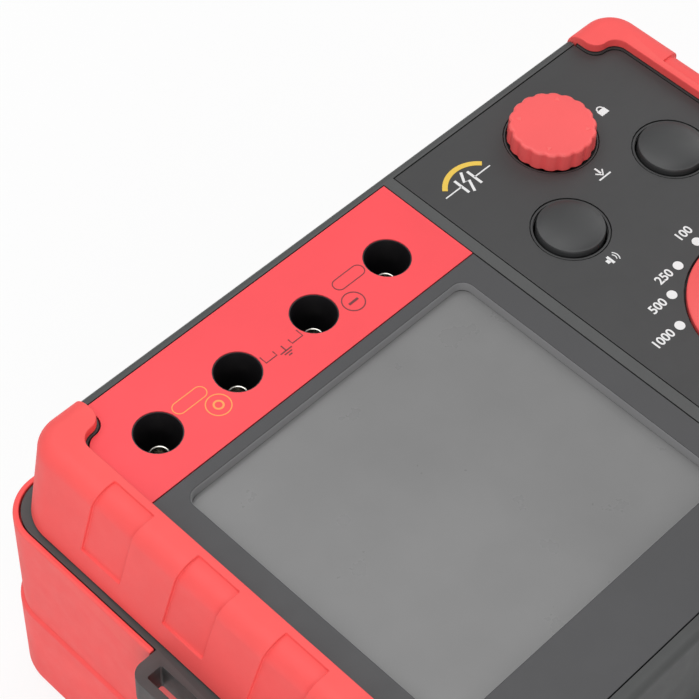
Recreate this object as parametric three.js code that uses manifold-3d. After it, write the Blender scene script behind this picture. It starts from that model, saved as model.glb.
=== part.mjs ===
// Insulation resistance tester: a two-shell case with soft end boots, a display and four test
// sockets on the left of its face, and a test knob, two keys and a range dial on the right.
// Millimetres, +X to the user's right, +Y away from the user, +Z up. The tester lies on its back
// and its origin is the middle of the footprint, on the surface that it rests on.
import * as THREE from "three";
import { mergeVertices } from "three/addons/utils/BufferGeometryUtils.js";
import Module from "manifold-3d";

const wasm = await Module();
wasm.setup();

// ---- driving dimensions -------------------------------------------------------------------
const PANEL_LENGTH = 185.8; // front case at its face, without the boots
const PANEL_DEPTH = 132.2; // front case at its face, front to back
const PANEL_Z = 87.5; // height of the face
const PART_Z = 62.7; // where the front and rear cases meet
const DRAFT = 0.13; // outward slope of the front case and boots, per mm of depth
const WALL = 2.5; // wall of both cases
const FACE_SHEET = 4.4; // thickness of the face, before its recesses
const CASE_CORNER = 5; // plan corner radius of the front case
const FACE_EDGE = 1.8; // rounding where the face turns into the long sides

const BOOT_WALL = 3.3; // front boots over the ends
const BOOT_SIDE_WALL = 2.8; // front boots over the long sides
const BOOT_LIP = 2.8; // front boots above the face
const BOOT_EDGE = 4.6; // rounding along the top outer edge of the front boots
const BOOT_REACH = 15.4; // how far each boot wraps along the long sides
const BOOT_MARGIN = 8.3; // width of the lip over the face
const TAB_DEPTH = 12.4; // length of the wider corner tabs of the lip
const PAD_COUNT = 4; // grip pads on each front boot
const PAD_PITCH = 25.7;
const PAD_WIDTH = 12.2;
const PAD_SLANT = 2.8; // how far a pad's foot leans back from its head
const PAD_DROP = 17.5; // from the face down to the foot of a pad
const PAD_SINK = 0.7;

const RAIL_WIDTH = 1.6; // ledge of the rear case seen round the front boots
const RIM_WIDTH = 1.4; // top edge of the rear boots, outside that ledge
const RAIL_HEIGHT = 2.4;
const REAR_BOOT_WALL = 2.6;
const REAR_BOOT_LIP = 2.2; // rear boots under the floor: the tester stands on them
const REAR_BOOT_FOLD = 13; // how far they reach in under the floor
const SKIRT_Z = 30; // top of the thicker lower band of the rear boots
const SKIRT_STEP = 0.8;
const FLOOR_SHEET = 3.2;
const FOOT_EDGE = 3.4; // rounding along the bottom of the rear boots

const LUG_HALF = 20; // half width of a strap lug
const LUG_REACH = 6.5; // how far a lug stands out past the rear boot
const LUG_HEIGHT = 8.5;
const LUG_CORNER = 3.6;
const STRAP_SLOT = 4.1; // slot for the strap, out from the case
const STRAP_BAR = 2.2; // bar outside the slot
const STRAP_SLOT_HALF = 16.4;

const LIP_GAP = 0.6; // strip of case between the boots' lip and the flush pieces of the face
const FRONT_MARGIN = 3.8; // from the front edge of the face to the flush pieces
const BACK_MARGIN = 2.4;
const BEZEL_RIGHT = 12.4; // right edge of the bezel that carries the sockets and the display
const BEZEL_THICK = 1.8;
const SOCKET_BAND = 28.5; // depth of the band that carries the sockets
const SOCKET_COUNT = 4;
const SOCKET_PITCH = 23.6;
const SOCKET_FIRST_X = -73.6;
const SOCKET_INSET = 15.8; // from the back edge of the bezel to the socket centres
const SOCKET_HOLE = 11.4;
const SOCKET_WALL = 1.4;
const SOCKET_DEPTH = 26;
const CONTACT_OUTER = 5.4;
const CONTACT_BORE = 4;
const CONTACT_SINK = 8.3; // from the face down to the rim of a contact

const WINDOW_LEFT = -80.9;
const WINDOW_RIGHT = 5.4;
const WINDOW_FRONT = -45.1;
const WINDOW_BACK = 31.9;
const WINDOW_CORNER = 3.3;
const WINDOW_SINK = 2.4; // from the face down to the display glass
const GLASS_THICK = 1.2;
const BACKLIGHT_THICK = 3;

const CENTRE_STRIP = 3.6; // strip of case between the bezel and the inlay round the controls
const LABEL_THICK = 0.8;

const CONTROL_X = 52.5; // the knob and the dial share this line
const KNOB_Y = 46.8;
const KNOB_DIAMETER = 21.4;
const KNOB_RISE = 5; // top of the knob above the face
const KNOB_FLUTES = 18;
const FLUTE_DEPTH = 0.6;
const KNOB_TRAVEL = 2.5;
const KNOB_WELL_GAP = 0.9; // round the knob, in the recess that it sinks into
const KNOB_WELL_DEPTH = 3.4;
const SHAFT_DIAMETER = 6;

const KEY_Y = 24.5;
const KEY_SPREAD = 36.5; // between the two key centres
const KEY_DIAMETER = 16.4;
const KEY_RISE = 2.2;
const KEY_TRAVEL = 1.2;
const KEY_WELL_GAP = 1.4; // round each key, in the shallow dish that it stands in

const DIAL_Y = -23.5;
const DIAL_DIAMETER = 43.6;
const DIAL_RISE = 3;
const DIAL_GRIP_RISE = 7;
const DIAL_GRIP_WIDTH = 11;
const DIAL_WELL_GAP = 0.6;
const DIAL_WELL_DEPTH = 2;

const BOARD_TOP = 59.6;
const BOARD_THICK = 1.6;
const BOARD_END_GAP = 2.9; // the board is this much shorter than the face at each end
const BOARD_SIDE_GAP = 6.1;
const POST_INSET_X = 7.9; // from the edges of the face to the screw posts
const POST_INSET_Y = 12.1;
const POST_DIAMETER = 8;
const SCREW_DIAMETER = 3;
const SCREW_HEAD = 5.6;
const SCREW_GRIP = 9; // length of thread in a front post

const CELL_DIAMETER = 14.3;
const CELL_LENGTH = 50.2;
const CELL_ROWS = 3;
const CELL_GAP = 0.7;
const BAY_WALL = 1.6;
const CONTACT_ROOM = 3; // at each end of a row of cells
const DOOR_TONGUE = 1.8;

const FIT = 0.3; // clearance between pieces that touch or slide
const SLIP = 0.5; // clearance round turning and pressed pieces

// ---- materials ------------------------------------------------------------------------------
const matte = (color, roughness = 0.6) => new THREE.MeshStandardMaterial({ color, roughness, metalness: 0 });
const metal = (color, roughness = 0.3) => new THREE.MeshStandardMaterial({ color, roughness, metalness: 1 });
const CASE_GREY = matte(0x565857, 0.55);
const INLAY_GREY = matte(0x4b4c4e, 0.5);
const BOOT_RED = matte(0xe8484c, 0.6);
const KNOB_RED = matte(0xf05055, 0.45);
const KEY_BLACK = matte(0x3c3e40, 0.4);
const DARK_PLASTIC = matte(0x1d1c1e, 0.5);
const CLEAR_GREY = matte(0x8b8c8c, 0.15);
const DISPLAY_WHITE = matte(0xd8dad6, 0.5);
const BOARD_GREEN = matte(0x1f6b42, 0.5);
const CELL_SLEEVE = matte(0x2d4f7a, 0.35);
const NICKEL = metal(0xc8c4ba);
const STEEL = metal(0xa9acb0, 0.35);
const COPPER = matte(0xb5793c, 0.5);
const CERAMIC = matte(0xe8e2d2, 0.4);

// ---- geometry helpers -------------------------------------------------------------------------
// A closed three.js geometry as a solid that can be joined and cut.
function solid(geometry, x = 0, y = 0, z = 0) {
  const bare = geometry.index ? geometry.toNonIndexed() : geometry.clone();
  bare.deleteAttribute("normal");
  bare.deleteAttribute("uv");
  bare.translate(x, y, z);
  const merged = mergeVertices(bare, 1e-4);
  const vertProperties = new Float32Array(merged.attributes.position.array);
  const triVerts = new Uint32Array(merged.index.array);
  return new wasm.Manifold(new wasm.Mesh({ numProp: 3, vertProperties, triVerts }));
}

const join = (...parts) => parts.reduce((whole, part) => whole.add(part));
const cut = (whole, ...parts) => parts.reduce((left, part) => left.subtract(part), whole);

// A solid's surface as geometry for a mesh.
function surface(body) {
  const { numProp, vertProperties, triVerts } = body.getMesh();
  const count = vertProperties.length / numProp;
  const position = new Float32Array(count * 3);
  for (let i = 0; i < count; i++) {
    position.set(vertProperties.subarray(i * numProp, i * numProp + 3), i * 3);
  }
  const geometry = new THREE.BufferGeometry();
  geometry.setAttribute("position", new THREE.BufferAttribute(position, 3));
  geometry.setIndex(new THREE.BufferAttribute(new Uint32Array(triVerts), 1));
  return geometry;
}

function block(x0, x1, y0, y1, z0, z1) {
  const box = new THREE.BoxGeometry(Math.abs(x1 - x0), Math.abs(y1 - y0), Math.abs(z1 - z0));
  return solid(box, (x0 + x1) / 2, (y0 + y1) / 2, (z0 + z1) / 2);
}

// A rectangle with round corners, centred on (x, y).
function roundedOutline(length, depth, radius, x = 0, y = 0) {
  const [a, b, q] = [length / 2, depth / 2, Math.PI / 2];
  const outline = new THREE.Shape();
  outline.moveTo(x + a, y - b + radius);
  outline.absarc(x + a - radius, y + b - radius, radius, 0, q);
  outline.absarc(x - a + radius, y + b - radius, radius, q, 2 * q);
  outline.absarc(x - a + radius, y - b + radius, radius, 2 * q, 3 * q);
  outline.absarc(x + a - radius, y - b + radius, radius, 3 * q, 4 * q);
  outline.closePath();
  return outline;
}

function plate(outline, z0, z1, curveSegments = 4) {
  const options = { depth: z1 - z0, bevelEnabled: false, curveSegments };
  return solid(new THREE.ExtrudeGeometry(outline, options), 0, 0, z0);
}

const roundPlate = (x0, x1, y0, y1, radius, z0, z1, segments = 4) =>
  plate(roundedOutline(x1 - x0, y1 - y0, radius, (x0 + x1) / 2, (y0 + y1) / 2), z0, z1, segments);

// A rounded rectangle swept up through [height, offset] pairs, each offset square to the outline.
function drafted(length, depth, radius, levels, curveSegments = 6) {
  const steps = levels.length - 1;
  const outline = roundedOutline(length, depth, radius);
  const options = { depth: steps, steps, bevelEnabled: false, curveSegments };
  const geometry = new THREE.ExtrudeGeometry(outline, options);
  const place = geometry.attributes.position;
  for (let i = 0; i < place.count; i++) {
    const [x, y] = [place.getX(i), place.getY(i)];
    const [height, offset] = levels[Math.round(place.getZ(i))];
    const over = Math.max(Math.abs(x) - (length / 2 - radius), 0);
    const beyond = Math.max(Math.abs(y) - (depth / 2 - radius), 0);
    const reach = offset / Math.hypot(over, beyond);
    place.setXYZ(i, x + Math.sign(x) * over * reach, y + Math.sign(y) * beyond * reach, height);
  }
  return solid(geometry);
}

// Levels of a quarter-round edge that turns inward as it rises to the top.
function roundedTop(top, radius, offset, steps = 3) {
  return Array.from({ length: steps + 1 }, (_, k) => {
    const angle = (k / steps) * (Math.PI / 2);
    return [top - radius + radius * Math.sin(angle), offset - radius * (1 - Math.cos(angle))];
  });
}

function cylinder(x, y, diameter, z0, z1, segments = 16) {
  const round = new THREE.CylinderGeometry(diameter / 2, diameter / 2, z1 - z0, segments);
  return solid(round.rotateX(Math.PI / 2), x, y, (z0 + z1) / 2);
}

// A profile of [radius, height] points turned about the vertical axis.
function turned(profile, segments = 24) {
  const points = profile.map(([radius, height]) => new THREE.Vector2(radius, height));
  return solid(new THREE.LatheGeometry(points, segments).rotateX(Math.PI / 2));
}

const tester = new THREE.Group();
tester.name = "insulation_resistance_tester";

function piece(name, body, material, parent = tester) {
  const mesh = new THREE.Mesh(surface(body), material);
  mesh.name = name;
  parent.add(mesh);
  return mesh;
}

// A group whose own zero is a point on the face.
function faceGroup(x, y) {
  const group = new THREE.Group();
  group.position.set(x, y, PANEL_Z);
  tester.add(group);
  return group;
}

// ---- shared sections ------------------------------------------------------------------------
const SPREAD = DRAFT * (PANEL_Z - PART_Z); // how much wider the front case is at its foot
const draftAt = (z) => DRAFT * (PANEL_Z - z);
const BOOT_LENGTH = PANEL_LENGTH + 2 * BOOT_WALL;
const BOOT_CORNER = CASE_CORNER + BOOT_WALL;
const CORE_DEPTH = PANEL_DEPTH - 2 * BOOT_SIDE_WALL; // front case where the boots cover it
const TAB_END = BOOT_LENGTH / 2 - BOOT_REACH;
const LIP_END = BOOT_LENGTH / 2 - BOOT_MARGIN;
const REAR_LENGTH = BOOT_LENGTH + 2 * (SPREAD + RAIL_WIDTH + RIM_WIDTH);
const REAR_DEPTH = PANEL_DEPTH + 2 * (SPREAD + RAIL_WIDTH + RIM_WIDTH);
const REAR_CORNER = BOOT_CORNER + RAIL_WIDTH + RIM_WIDTH;
const FLOOR_Z = REAR_BOOT_LIP + FIT;
const RAIL_Z = PART_Z - RAIL_HEIGHT;
const BEZEL_BACK = PANEL_DEPTH / 2 - BACK_MARGIN;
const SOCKET_Y = BEZEL_BACK - SOCKET_INSET;
const LABEL_LEFT = BEZEL_RIGHT + CENTRE_STRIP;
const KNOB_WELL = KNOB_DIAMETER + 2 * KNOB_WELL_GAP;
const KEY_WELL = KEY_DIAMETER + 2 * KEY_WELL_GAP;
const DIAL_WELL = DIAL_DIAMETER + 2 * DIAL_WELL_GAP;
const POST_X = PANEL_LENGTH / 2 - POST_INSET_X;
const POST_Y = PANEL_DEPTH / 2 - POST_INSET_Y;
const CELL_PITCH = CELL_DIAMETER + CELL_GAP;
const SIDES = { left: -1, right: 1 };
const SOCKETS = Array.from({ length: SOCKET_COUNT }, (_, k) => SOCKET_FIRST_X + k * SOCKET_PITCH);
const POSTS = [-1, 1].flatMap((sx) => [-1, 1].map((sy) => [sx * POST_X, sy * POST_Y]));

// Everything outside |x| = limit on one side of the tester.
const endRegion = (side, limit, z0 = -10, z1 = 120) => block(side * limit, side * 200, -150, 150, z0, z1);

// The part of the face that a boot's lip leaves open: narrower beside the corner tabs, which end
// in a round nose and a round hollow.
function openFace(gap) {
  const [lip, tab] = [LIP_END - gap, TAB_END - gap];
  const far = PANEL_DEPTH;
  const shoulder = PANEL_DEPTH / 2 - TAB_DEPTH - gap;
  const bend = (LIP_END - TAB_END) / 2;
  const open = new THREE.Shape();
  open.moveTo(tab, far);
  open.lineTo(-tab, far);
  open.lineTo(-tab, shoulder + 2 * bend);
  open.absarc(-tab - bend, shoulder + 2 * bend, bend, 0, -Math.PI / 2, true);
  open.absarc(-tab - bend, shoulder, bend, Math.PI / 2, Math.PI, false);
  open.lineTo(-lip, -shoulder);
  open.absarc(-tab - bend, -shoulder, bend, Math.PI, Math.PI * 1.5, false);
  open.absarc(-tab - bend, -shoulder - 2 * bend, bend, Math.PI / 2, 0, true);
  open.lineTo(-tab, -far);
  open.lineTo(tab, -far);
  open.lineTo(tab, -shoulder - 2 * bend);
  open.absarc(tab + bend, -shoulder - 2 * bend, bend, Math.PI, Math.PI / 2, true);
  open.absarc(tab + bend, -shoulder, bend, -Math.PI / 2, 0, false);
  open.lineTo(lip, shoulder);
  open.absarc(tab + bend, shoulder, bend, 0, Math.PI / 2, false);
  open.absarc(tab + bend, shoulder + 2 * bend, bend, -Math.PI / 2, -Math.PI, true);
  open.closePath();
  return open;
}

// ---- front case -----------------------------------------------------------------------------
const KEYS = { hold: CONTROL_X - KEY_SPREAD / 2, power: CONTROL_X + KEY_SPREAD / 2 };
const KEY_STEM = 5;
const POST_FOOT = BOARD_TOP + FIT;

function frontCase() {
  const ends = drafted(PANEL_LENGTH, CORE_DEPTH, CASE_CORNER, [[PART_Z, SPREAD], [PANEL_Z, 0]]);
  const middle = drafted(PANEL_LENGTH, PANEL_DEPTH, CASE_CORNER, [
    [PART_Z, SPREAD],
    ...roundedTop(PANEL_Z, FACE_EDGE, draftAt(PANEL_Z - FACE_EDGE)),
  ]).intersect(block(-TAB_END + FIT, TAB_END - FIT, -150, 150, 0, PANEL_Z));
  const hollow = drafted(PANEL_LENGTH - 2 * WALL, CORE_DEPTH - 2 * WALL, CASE_CORNER - WALL, [
    [PART_Z - 1, SPREAD],
    [PANEL_Z - FACE_SHEET, 0],
  ]);
  const wells = [
    cylinder(CONTROL_X, KNOB_Y, KNOB_WELL, PANEL_Z - KNOB_WELL_DEPTH, PANEL_Z + 1, 36),
    cylinder(CONTROL_X, DIAL_Y, DIAL_WELL, PANEL_Z - DIAL_WELL_DEPTH, PANEL_Z + 1, 48),
    ...Object.values(KEYS).map((x) => cylinder(x, KEY_Y, KEY_DIAMETER + 2 * SLIP, PART_Z, PANEL_Z + 1, 32)),
    ...[KNOB_Y, DIAL_Y].map((y) => cylinder(CONTROL_X, y, SHAFT_DIAMETER + 2 * SLIP, PART_Z, PANEL_Z)),
    ...SOCKETS.map((x) => cylinder(x, SOCKET_Y, SOCKET_HOLE + 2 * (SOCKET_WALL + FIT), PART_Z, PANEL_Z)),
  ];
  const recesses = [
    bezelPlate(FIT, PANEL_Z - BEZEL_THICK - FIT, PANEL_Z + 1),
    labelPlate(FIT, PANEL_Z - LABEL_THICK - FIT, PANEL_Z + 1),
    roundPlate(WINDOW_LEFT, WINDOW_RIGHT, WINDOW_FRONT, WINDOW_BACK, WINDOW_CORNER, PART_Z, PANEL_Z),
  ];
  const posts = POSTS.map(([x, y]) =>
    cut(
      cylinder(x, y, POST_DIAMETER, POST_FOOT, PANEL_Z - FACE_SHEET + 0.5, 16),
      cylinder(x, y, SCREW_DIAMETER + 2 * FIT, POST_FOOT - 1, POST_FOOT + SCREW_GRIP + 1, 12),
    ),
  );
  return join(cut(join(ends, middle), hollow, ...wells, ...recesses), ...posts);
}

// A flush piece of the face: it stops short of the boots' lip and follows its corner tabs.
function facePiece(x0, x1, grow, z0, z1) {
  const [front, back] = [-PANEL_DEPTH / 2 + FRONT_MARGIN - grow, BEZEL_BACK + grow];
  return plate(openFace(LIP_GAP - grow), z0, z1).intersect(block(x0 - grow, x1 + grow, front, back, z0, z1));
}
const bezelPlate = (grow, z0, z1) => facePiece(-PANEL_LENGTH / 2, BEZEL_RIGHT, grow, z0, z1);
const labelPlate = (grow, z0, z1) => facePiece(LABEL_LEFT, PANEL_LENGTH / 2, grow, z0, z1);

piece("front_case", frontCase(), CASE_GREY);

// ---- bezel, display and inlay ---------------------------------------------------------------
const BEZEL_Z = PANEL_Z - BEZEL_THICK;
const socketHoles = (z0, z1) => SOCKETS.map((x) => cylinder(x, SOCKET_Y, SOCKET_HOLE, z0, z1, 28));
const bandFront = BEZEL_BACK - SOCKET_BAND;

function bezelPiece(y0, y1, ...holes) {
  return cut(bezelPlate(0, BEZEL_Z, PANEL_Z).intersect(block(-200, 200, y0, y1, 0, 120)), ...holes);
}
const panelHoles = socketHoles(BEZEL_Z - 1, PANEL_Z + 1);
piece("socket_panel", bezelPiece(bandFront + FIT / 2, 150, ...panelHoles), KNOB_RED);
piece(
  "display_bezel",
  bezelPiece(
    -150,
    bandFront - FIT / 2,
    roundPlate(WINDOW_LEFT, WINDOW_RIGHT, WINDOW_FRONT, WINDOW_BACK, WINDOW_CORNER, BEZEL_Z - 1, PANEL_Z + 1),
  ),
  CASE_GREY,
);
const GLASS_Z = PANEL_Z - WINDOW_SINK;
const inWindow = (grow, z0, z1) =>
  roundPlate(
    WINDOW_LEFT - grow,
    WINDOW_RIGHT + grow,
    WINDOW_FRONT - grow,
    WINDOW_BACK + grow,
    WINDOW_CORNER,
    z0,
    z1,
  );
piece("display_glass", inWindow(-FIT, GLASS_Z - GLASS_THICK, GLASS_Z), CLEAR_GREY);
const BACKLIGHT_TOP = GLASS_Z - GLASS_THICK - FIT;
const BACKLIGHT_Z = BACKLIGHT_TOP - BACKLIGHT_THICK;
piece("display_backlight", inWindow(-FIT, BACKLIGHT_Z, BACKLIGHT_TOP), DISPLAY_WHITE);
// The carrier stands on the board and holds the display up into the window.
piece(
  "display_carrier",
  cut(
    inWindow(-FIT, BOARD_TOP + FIT, BACKLIGHT_Z - FIT),
    inWindow(-4, BOARD_TOP, BACKLIGHT_Z - FIT - 1.6),
    inWindow(-12, BOARD_TOP, PANEL_Z),
  ),
  DARK_PLASTIC,
);
piece(
  "control_inlay",
  cut(
    labelPlate(0, PANEL_Z - LABEL_THICK, PANEL_Z),
    cylinder(CONTROL_X, KNOB_Y, KNOB_WELL, 0, 120, 36),
    cylinder(CONTROL_X, DIAL_Y, DIAL_WELL, 0, 120, 48),
    ...Object.values(KEYS).map((x) => cylinder(x, KEY_Y, KEY_WELL, 0, 120, 32)),
  ),
  INLAY_GREY,
);

// ---- test sockets ---------------------------------------------------------------------------
const SOCKET_TOP = BEZEL_Z - FIT;
const SOCKET_FOOT = BOARD_TOP + FIT;
SOCKETS.forEach((x, k) => {
  const outer = SOCKET_HOLE + 2 * SOCKET_WALL;
  const housing = cut(
    cylinder(x, SOCKET_Y, outer, SOCKET_FOOT, SOCKET_TOP, 28),
    cylinder(x, SOCKET_Y, SOCKET_HOLE, PANEL_Z - SOCKET_DEPTH, PANEL_Z, 28),
    cylinder(x, SOCKET_Y, CONTACT_OUTER - 1, 0, PANEL_Z, 12),
  );
  piece("socket_housing_" + (k + 1), housing, DARK_PLASTIC);
  const contact = cut(
    cylinder(x, SOCKET_Y, CONTACT_OUTER, PANEL_Z - SOCKET_DEPTH + FIT, PANEL_Z - CONTACT_SINK, 20),
    cylinder(x, SOCKET_Y, CONTACT_BORE, PANEL_Z - SOCKET_DEPTH + 2, PANEL_Z, 16),
  );
  piece("socket_contact_" + (k + 1), contact, NICKEL);
});

// ---- test knob: pressed to test, turned to lock ---------------------------------------------
const KNOB_FOOT = -KNOB_WELL_DEPTH + KNOB_TRAVEL + FIT;
const COLLAR_DIAMETER = 11;
const SHAFT_FOOT = POST_FOOT - PANEL_Z + 9;

function fluted(diameter, flutes, depth, z0, z1) {
  const outline = new THREE.Shape();
  const steps = flutes * 4;
  for (let k = 0; k < steps; k++) {
    const angle = (k / steps) * 2 * Math.PI;
    const radius = diameter / 2 - (depth / 2) * (1 - Math.cos(flutes * angle));
    const [x, y] = [radius * Math.cos(angle), radius * Math.sin(angle)];
    if (k) outline.lineTo(x, y);
    else outline.moveTo(x, y);
  }
  outline.closePath();
  return plate(outline, z0, z1);
}

const knob = faceGroup(CONTROL_X, KNOB_Y);
piece(
  "test_knob",
  join(
    fluted(KNOB_DIAMETER, KNOB_FLUTES, FLUTE_DEPTH, KNOB_FOOT, KNOB_RISE - 0.8),
    turned([[0, KNOB_RISE - 1], [KNOB_DIAMETER / 2 - FLUTE_DEPTH, KNOB_RISE - 1],
      [KNOB_DIAMETER / 2 - 1.6, KNOB_RISE], [0, KNOB_RISE]], 36),
    cylinder(0, 0, SHAFT_DIAMETER, SHAFT_FOOT, KNOB_FOOT + 0.5),
  ),
  KNOB_RED,
  knob,
);
// The plunger hangs on the shaft's groove and carries the push down to the switch.
const PLUNGER_TOP = -FACE_SHEET - KNOB_TRAVEL - 1;
const PLUNGER_FOOT = SHAFT_FOOT - 1.6;
piece(
  "test_plunger",
  cut(
    join(
      cylinder(0, 0, COLLAR_DIAMETER, PLUNGER_FOOT, PLUNGER_TOP - 1.6),
      cylinder(0, 0, COLLAR_DIAMETER + 4, PLUNGER_TOP - 1.6, PLUNGER_TOP),
    ),
    cylinder(0, 0, SHAFT_DIAMETER + 2 * FIT, SHAFT_FOOT - FIT, 0),
  ),
  DARK_PLASTIC,
  knob,
);
// The switch body is a cup on the board: the spring sits in it, round the plunger.
const SWITCH_FOOT = BOARD_TOP + FIT - PANEL_Z;
const SWITCH_RIM = SWITCH_FOOT + 5;
const SWITCH_DIAMETER = COLLAR_DIAMETER + 7;
const SPRING_WIRE = 0.9;
const SPRING_DIAMETER = COLLAR_DIAMETER + 2 * SLIP + SPRING_WIRE;
piece(
  "test_switch",
  cut(
    cylinder(0, 0, SWITCH_DIAMETER, SWITCH_FOOT, SWITCH_RIM),
    cylinder(0, 0, COLLAR_DIAMETER + 2 * SLIP + 3, SWITCH_FOOT + 2, 0),
  ),
  DARK_PLASTIC,
  knob,
);

class Helix extends THREE.Curve {
  constructor(radius, z0, z1, turns) {
    super();
    Object.assign(this, { radius, z0, z1, turns });
  }
  getPoint(t, target = new THREE.Vector3()) {
    const angle = t * this.turns * 2 * Math.PI;
    const rise = this.z0 + (this.z1 - this.z0) * t;
    return target.set(this.radius * Math.cos(angle), this.radius * Math.sin(angle), rise);
  }
}

function spring(diameter, wire, z0, z1, turns) {
  const path = new Helix(diameter / 2, z0 + wire / 2, z1 - wire / 2, turns);
  const section = new THREE.Shape();
  section.absarc(0, 0, wire / 2, 0, 2 * Math.PI);
  const options = { steps: turns * 10, curveSegments: 3, extrudePath: path };
  return solid(new THREE.ExtrudeGeometry(section, options));
}
const SPRING_FOOT = SWITCH_FOOT + 2 + FIT;
const SPRING_TOP = PLUNGER_TOP - 1.6 - FIT;
piece("test_spring", spring(SPRING_DIAMETER, SPRING_WIRE, SPRING_FOOT, SPRING_TOP, 5), STEEL, knob);

// ---- hold and power keys --------------------------------------------------------------------
for (const [name, x] of Object.entries(KEYS)) {
  const key = faceGroup(x, KEY_Y);
  const skirt = -FACE_SHEET + FIT;
  const switchTop = SWITCH_FOOT + 3.5;
  piece(
    name + "_key",
    join(
      turned([[0, skirt], [KEY_DIAMETER / 2, skirt], [KEY_DIAMETER / 2, KEY_RISE - 1.4],
        [KEY_DIAMETER / 2 - 0.5, KEY_RISE - 0.7], [KEY_DIAMETER / 2 - 1.6, KEY_RISE - 0.3],
        [KEY_DIAMETER / 4, KEY_RISE], [0, KEY_RISE]], 32),
      cylinder(0, 0, KEY_STEM, switchTop - 1, skirt + 0.5, 16),
    ),
    KEY_BLACK,
    key,
  );
  piece(
    name + "_switch",
    cut(
      block(-4, 4, -4, 4, SWITCH_FOOT, switchTop),
      cylinder(0, 0, KEY_STEM + 2 * SLIP, switchTop - 1 - KEY_TRAVEL - SLIP, 0, 16),
    ),
    DARK_PLASTIC,
    key,
  );
}

// ---- range dial -----------------------------------------------------------------------------
const dial = faceGroup(CONTROL_X, DIAL_Y);
const DIAL_FOOT = -DIAL_WELL_DEPTH + FIT;
const DIAL_SHAFT_FOOT = SWITCH_FOOT + 3;
const gripShape = roundedOutline(DIAL_GRIP_WIDTH, DIAL_DIAMETER - 9, DIAL_GRIP_WIDTH / 2 - 0.2);
const gripBar = new THREE.ExtrudeGeometry(gripShape, {
  depth: DIAL_GRIP_RISE - DIAL_RISE + 0.6 - 1,
  bevelThickness: 1,
  bevelSize: 1,
  bevelOffset: -1,
  bevelSegments: 2,
  curveSegments: 6,
});
piece(
  "range_dial",
  join(
    turned([[0, DIAL_FOOT], [DIAL_DIAMETER / 2, DIAL_FOOT], [DIAL_DIAMETER / 2, 0.6],
      [DIAL_DIAMETER / 2 - 4.6, DIAL_RISE], [0, DIAL_RISE]], 48),
    solid(gripBar, 0, 0, DIAL_RISE - 0.6).intersect(cylinder(0, 0, DIAL_DIAMETER, DIAL_RISE - 0.6, 40, 36)),
    cylinder(0, 0, SHAFT_DIAMETER, DIAL_SHAFT_FOOT, DIAL_FOOT + 0.5),
  ),
  KNOB_RED,
  dial,
);
piece(
  "rotary_switch",
  cut(
    join(
      cylinder(0, 0, 30, SWITCH_FOOT, SWITCH_FOOT + 12),
      cylinder(0, 0, 11, SWITCH_FOOT + 11, -FACE_SHEET - 2),
    ),
    cylinder(0, 0, SHAFT_DIAMETER + 2 * FIT, DIAL_SHAFT_FOOT - FIT, 0),
  ),
  DARK_PLASTIC,
  dial,
);

// ---- front boots ----------------------------------------------------------------------------
function frontBoot(side) {
  const top = PANEL_Z + BOOT_LIP;
  const levels = (sink) => [
    [PART_Z + FIT, draftAt(PART_Z) - sink],
    ...roundedTop(top - sink, BOOT_EDGE, draftAt(top - BOOT_EDGE) - sink, 4),
  ];
  const skin = drafted(BOOT_LENGTH, PANEL_DEPTH + 0.4, BOOT_CORNER, levels(0), 5);
  const sunk = drafted(BOOT_LENGTH, PANEL_DEPTH + 0.4, BOOT_CORNER, levels(PAD_SINK), 5);
  const room = drafted(PANEL_LENGTH, CORE_DEPTH, CASE_CORNER, [
    [PART_Z - 1, SPREAD + FIT],
    [PANEL_Z, FIT],
    [PANEL_Z + FIT, FIT],
  ]);
  const pads = Array.from({ length: PAD_COUNT }, (_, k) => {
    const y = (k - (PAD_COUNT - 1) / 2) * PAD_PITCH;
    const outline = new THREE.Shape();
    // drawn in the end wall's own plane: y across, z up
    outline.moveTo(y - PAD_WIDTH / 2 - PAD_SLANT / 2, top + 1);
    outline.lineTo(y - PAD_WIDTH / 2 + PAD_SLANT / 2, PANEL_Z - PAD_DROP);
    outline.lineTo(y + PAD_WIDTH / 2 + PAD_SLANT / 2, PANEL_Z - PAD_DROP);
    outline.lineTo(y + PAD_WIDTH / 2 - PAD_SLANT / 2, top + 1);
    outline.closePath();
    const inward = BOOT_LENGTH / 2 - 6.4;
    const bar = new THREE.ExtrudeGeometry(outline, { depth: 30, bevelEnabled: false });
    bar.rotateX(Math.PI / 2).rotateZ(Math.PI / 2);
    return cut(solid(bar, side > 0 ? inward : -inward - 30, 0, 0), sunk);
  });
  const opening = plate(openFace(0), PANEL_Z - 3, top + 1, 6);
  return cut(skin.intersect(endRegion(side, TAB_END)), room, opening, ...pads);
}
for (const [name, side] of Object.entries(SIDES)) {
  piece("front_boot_" + name, frontBoot(side), BOOT_RED);
}

// ---- rear case ------------------------------------------------------------------------------
const BAY_HALF_X = CELL_LENGTH + CONTACT_ROOM + FIT;
const BAY_HALF_Y = (CELL_ROWS * CELL_PITCH) / 2 + FIT;
const BAY_ROOF = FLOOR_Z + FLOOR_SHEET + CELL_DIAMETER + 2 * FIT;
const DOOR_BACK = BAY_HALF_Y + 4;
const LUG_TOP = PART_Z - FIT;
const LUG_END = REAR_LENGTH / 2 + LUG_REACH;
const LUG_FOOT = LUG_TOP - LUG_HEIGHT;
const UNDER_BOOT = REAR_BOOT_WALL + FIT; // the rear case is this much smaller under the boots

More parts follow.
